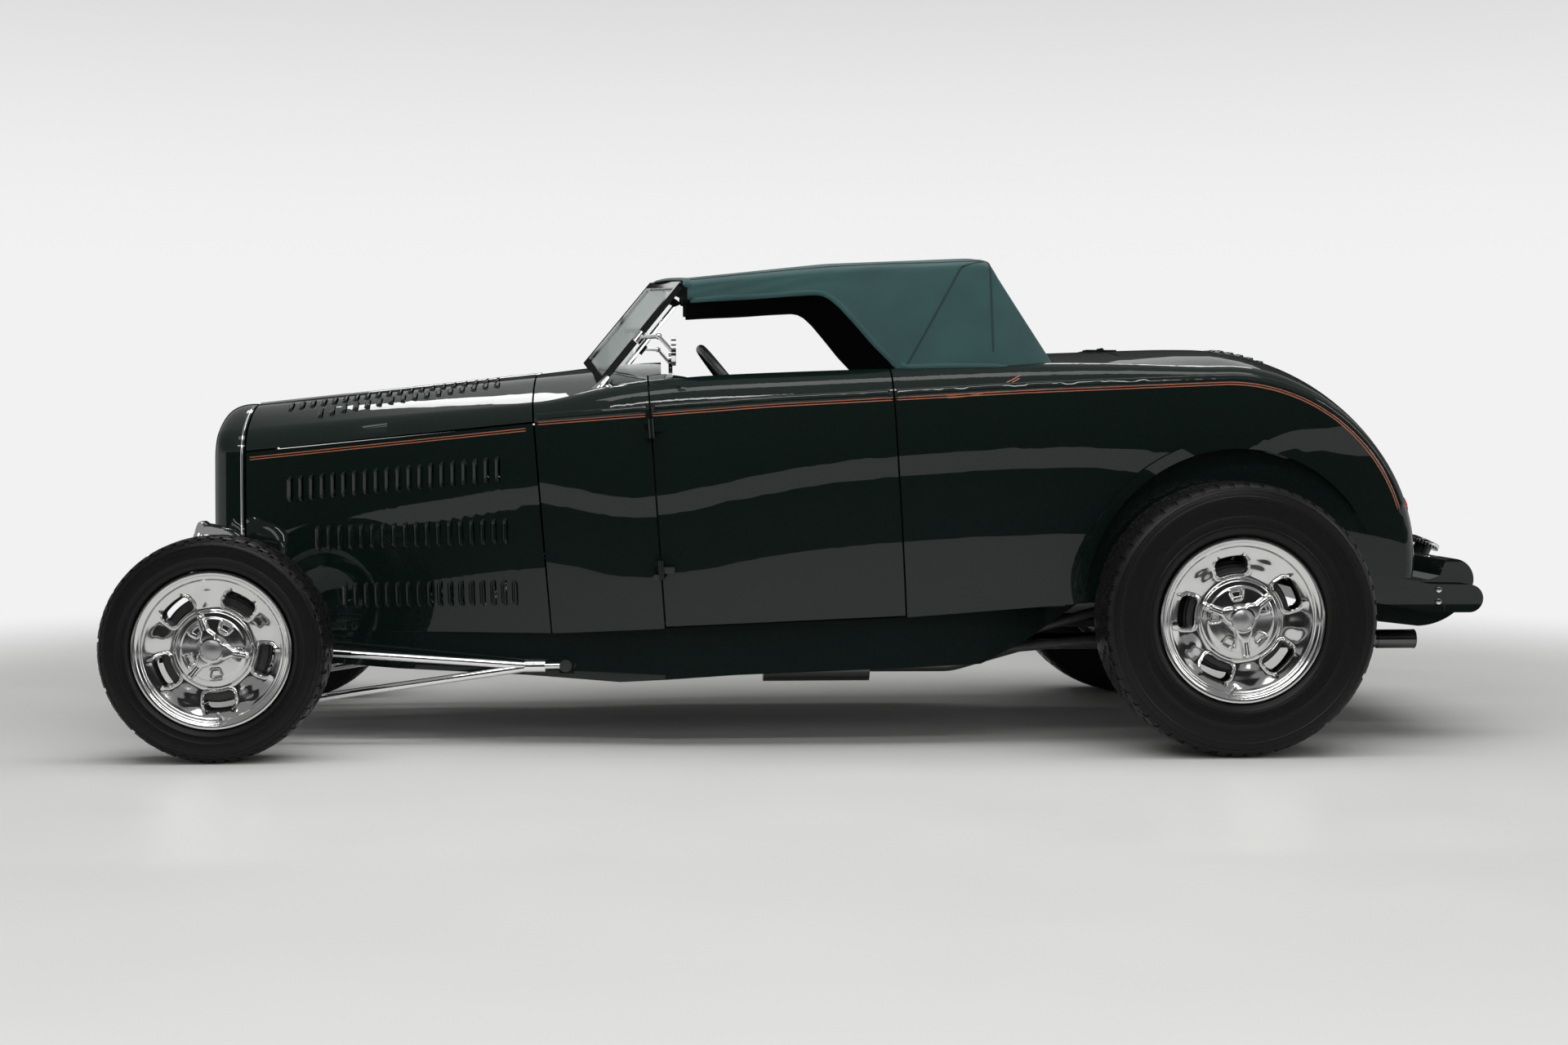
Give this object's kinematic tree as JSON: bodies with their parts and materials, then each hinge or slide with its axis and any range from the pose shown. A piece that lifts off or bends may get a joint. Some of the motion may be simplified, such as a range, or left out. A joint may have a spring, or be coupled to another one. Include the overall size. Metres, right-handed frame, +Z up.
{
  "type": "street rod roadster",
  "caption": "Two-seat fenderless roadster with louvered hood, vee windshield, fabric top, dropped front axle on hairpin rods and a live rear axle.",
  "frame": {"origin": "on the ground under the middle of the overall length, on the car's centre line", "axes": "+X to the rear of the car, +Y to its right-hand side, +Z up"},
  "size_m": [3.7632, 1.704, 1.3629],
  "materials": {
    "body_paint": "deep gloss dark green",
    "frame_paint": "gloss dark green",
    "axle_paint": "satin black",
    "polished_alloy": "polished",
    "tyre_rubber": "black",
    "bright_chrome": "polished",
    "bare_steel": "satin",
    "exhaust_steel": "satin",
    "cast_block": "painted casting",
    "radiator_black": "matt black",
    "tinted_glass": "pale green tint",
    "top_fabric": "teal canvas",
    "seat_leather": "tan hide",
    "cabin_carpet": "dark carpet",
    "wheel_grip": "black",
    "red_lens": "red"
  },
  "bodies": {
    "chassis": {"frame_rails": "frame_paint", "crossmembers": "frame_paint", "spreader_bars": "frame_paint", "engine": "cast_block", "driveshaft": "bare_steel", "exhausts": "exhaust_steel", "front_axle": "bright_chrome", "rear_axle": "axle_paint", "leaf_springs": "axle_paint", "hairpins": "bright_chrome", "ladder_bars": "axle_paint", "grille_shell": "body_paint", "grille": "bright_chrome", "radiator": "radiator_black", "hood_side_left": "body_paint", "hood_side_right": "body_paint", "cowl": "body_paint", "rear_body": "body_paint", "floor_pan": "cabin_carpet", "windshield_frame": "bright_chrome", "windshield_glass": "tinted_glass", "soft_top": "top_fabric", "seat_cushion": "seat_leather", "seat_back": "seat_leather", "steering_column": "bright_chrome", "headlights": "bright_chrome", "tail_lights": "red_lens", "fuel_tank": "frame_paint"},
    "front_left_wheel": {"front_left_rim": "polished_alloy", "front_left_tyre": "tyre_rubber"},
    "front_right_wheel": {"front_right_rim": "polished_alloy", "front_right_tyre": "tyre_rubber"},
    "rear_left_wheel": {"rear_left_rim": "polished_alloy", "rear_left_tyre": "tyre_rubber"},
    "rear_right_wheel": {"rear_right_rim": "polished_alloy", "rear_right_tyre": "tyre_rubber"},
    "left_knuckle": {"knuckle_left": "bright_chrome"},
    "right_knuckle": {"knuckle_right": "bright_chrome"},
    "tie_rod": {"tie_rod": "bright_chrome"},
    "steering_wheel": {"steering_wheel": "wheel_grip"},
    "left_door": {"door_left": "body_paint"},
    "right_door": {"door_right": "body_paint"},
    "deck_lid": {"deck_lid": "body_paint"},
    "hood_left": {"hood_top_left": "body_paint"},
    "hood_right": {"hood_top_right": "body_paint"}
  },
  "joints": [
    {"name": "front_left_wheel_spin", "type": "hinge", "parent": "left_knuckle", "child": "front_left_wheel", "pos_m": [-1.578, -0.71, 0.296], "axis": [0, 1, 0], "continuous": true},
    {"name": "front_right_wheel_spin", "type": "hinge", "parent": "right_knuckle", "child": "front_right_wheel", "pos_m": [-1.578, 0.71, 0.296], "axis": [0, 1, 0], "continuous": true},
    {"name": "rear_left_wheel_spin", "type": "hinge", "parent": "chassis", "child": "rear_left_wheel", "pos_m": [1.114, -0.74, 0.365], "axis": [0, 1, 0], "continuous": true},
    {"name": "rear_right_wheel_spin", "type": "hinge", "parent": "chassis", "child": "rear_right_wheel", "pos_m": [1.114, 0.74, 0.365], "axis": [0, 1, 0], "continuous": true},
    {"name": "steer_left", "type": "hinge", "parent": "chassis", "child": "left_knuckle", "pos_m": [-1.578, -0.592, 0.296], "axis": [0, 0, 1], "range_deg": [-26, 26]},
    {"name": "steer_right", "type": "hinge", "parent": "chassis", "child": "right_knuckle", "pos_m": [-1.578, 0.592, 0.296], "axis": [0, 0, 1], "range_deg": [-27, 27]},
    {"name": "tie_rod_swing", "type": "hinge", "parent": "left_knuckle", "child": "tie_rod", "pos_m": [-1.448, -0.592, 0.196], "axis": [0, 0, 1], "range_deg": [-27, 27]},
    {"name": "steering_wheel_turn", "type": "hinge", "parent": "chassis", "child": "steering_wheel", "pos_m": [-0.193, -0.368, 0.95], "axis": [0.788, 0, 0.6157], "range_deg": [-426, 426]},
    {"name": "door_left_open", "type": "hinge", "parent": "chassis", "child": "left_door", "pos_m": [-0.42684, -0.627, 0.68], "axis": [0.068, 0, -0.9977], "range_deg": [0, 65]},
    {"name": "door_right_open", "type": "hinge", "parent": "chassis", "child": "right_door", "pos_m": [-0.42684, 0.627, 0.68], "axis": [-0.068, 0, 0.9977], "range_deg": [0, 65]},
    {"name": "deck_lid_open", "type": "hinge", "parent": "chassis", "child": "deck_lid", "pos_m": [0.864, 0, 1.09602], "axis": [0, -1, 0], "range_deg": [0, 50]},
    {"name": "hood_left_open", "type": "hinge", "parent": "chassis", "child": "hood_left", "pos_m": [-1.578, 0, 0.938], "axis": [-0.9941, 0, -0.1083], "range_deg": [0, 50]},
    {"name": "hood_right_open", "type": "hinge", "parent": "chassis", "child": "hood_right", "pos_m": [-1.578, 0, 0.938], "axis": [0.9941, 0, 0.1083], "range_deg": [0, 50]}
  ],
  "couplings": [
    {"joint": "steer_right", "follows": "steer_left", "ratio": 1},
    {"joint": "tie_rod_swing", "follows": "steer_left", "ratio": -1},
    {"joint": "steering_wheel_turn", "follows": "steer_left", "ratio": 16}
  ]
}
